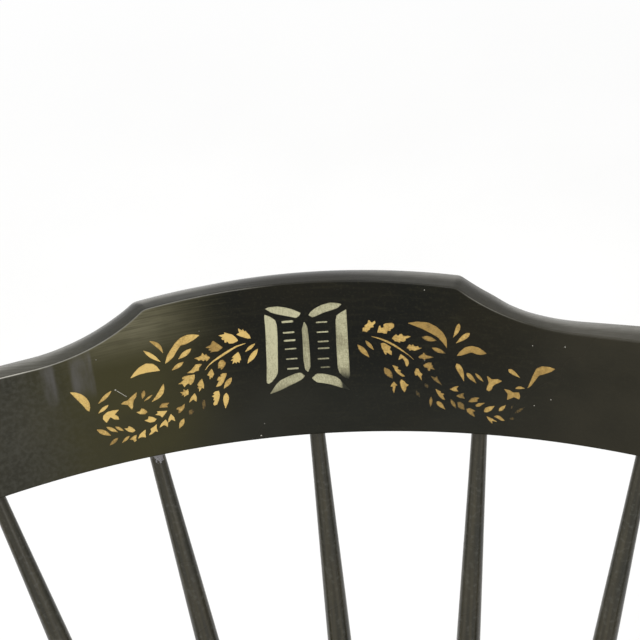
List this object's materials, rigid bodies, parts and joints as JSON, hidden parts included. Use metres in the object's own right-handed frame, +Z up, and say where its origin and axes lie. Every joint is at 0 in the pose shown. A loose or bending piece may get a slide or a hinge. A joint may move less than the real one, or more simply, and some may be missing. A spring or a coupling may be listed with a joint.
{
  "type": "painted fan-back side chair",
  "caption": "Rigid plank-seat side chair: bent stencilled crest rail on plain spindles and turned posts, saddled seat, splayed turned legs joined by an H-stretcher.",
  "frame": {"origin": "on the floor, under the middle of the whole chair's bounding box", "axes": "+Z up, along the chair's height; the chair faces -Y and its back leans towards +Y; the chair is symmetric left to right, across X"},
  "size_m": [0.5298, 0.5132, 0.8711],
  "materials": {
    "painted_wood": "black lacquer with a faint olive cast over hardwood, satin to gloss, with bronze-powder stencils",
    "bare_wood": "raw hardwood, hidden in the joints",
    "glide_steel": "nickel-plated pressed steel"
  },
  "bodies": {
    "root": {"centre_stretcher": "painted_wood", "crest_peg_left": "bare_wood", "crest_peg_right": "bare_wood", "crest_rail": "painted_wood", "glide_front_left": "glide_steel", "glide_front_right": "glide_steel", "glide_rear_left": "glide_steel", "glide_rear_right": "glide_steel", "leg_front_left": "painted_wood", "leg_front_right": "painted_wood", "leg_rear_left": "painted_wood", "leg_rear_right": "painted_wood", "leg_wedge_front_left": "bare_wood", "leg_wedge_front_right": "bare_wood", "leg_wedge_rear_left": "bare_wood", "leg_wedge_rear_right": "bare_wood", "post_left": "painted_wood", "post_right": "painted_wood", "seat": "painted_wood", "side_stretcher_left": "painted_wood", "side_stretcher_right": "painted_wood", "spindle_1": "painted_wood", "spindle_2": "painted_wood", "spindle_3": "painted_wood", "spindle_4": "painted_wood", "spindle_5": "painted_wood"}
  },
  "joints": []
}
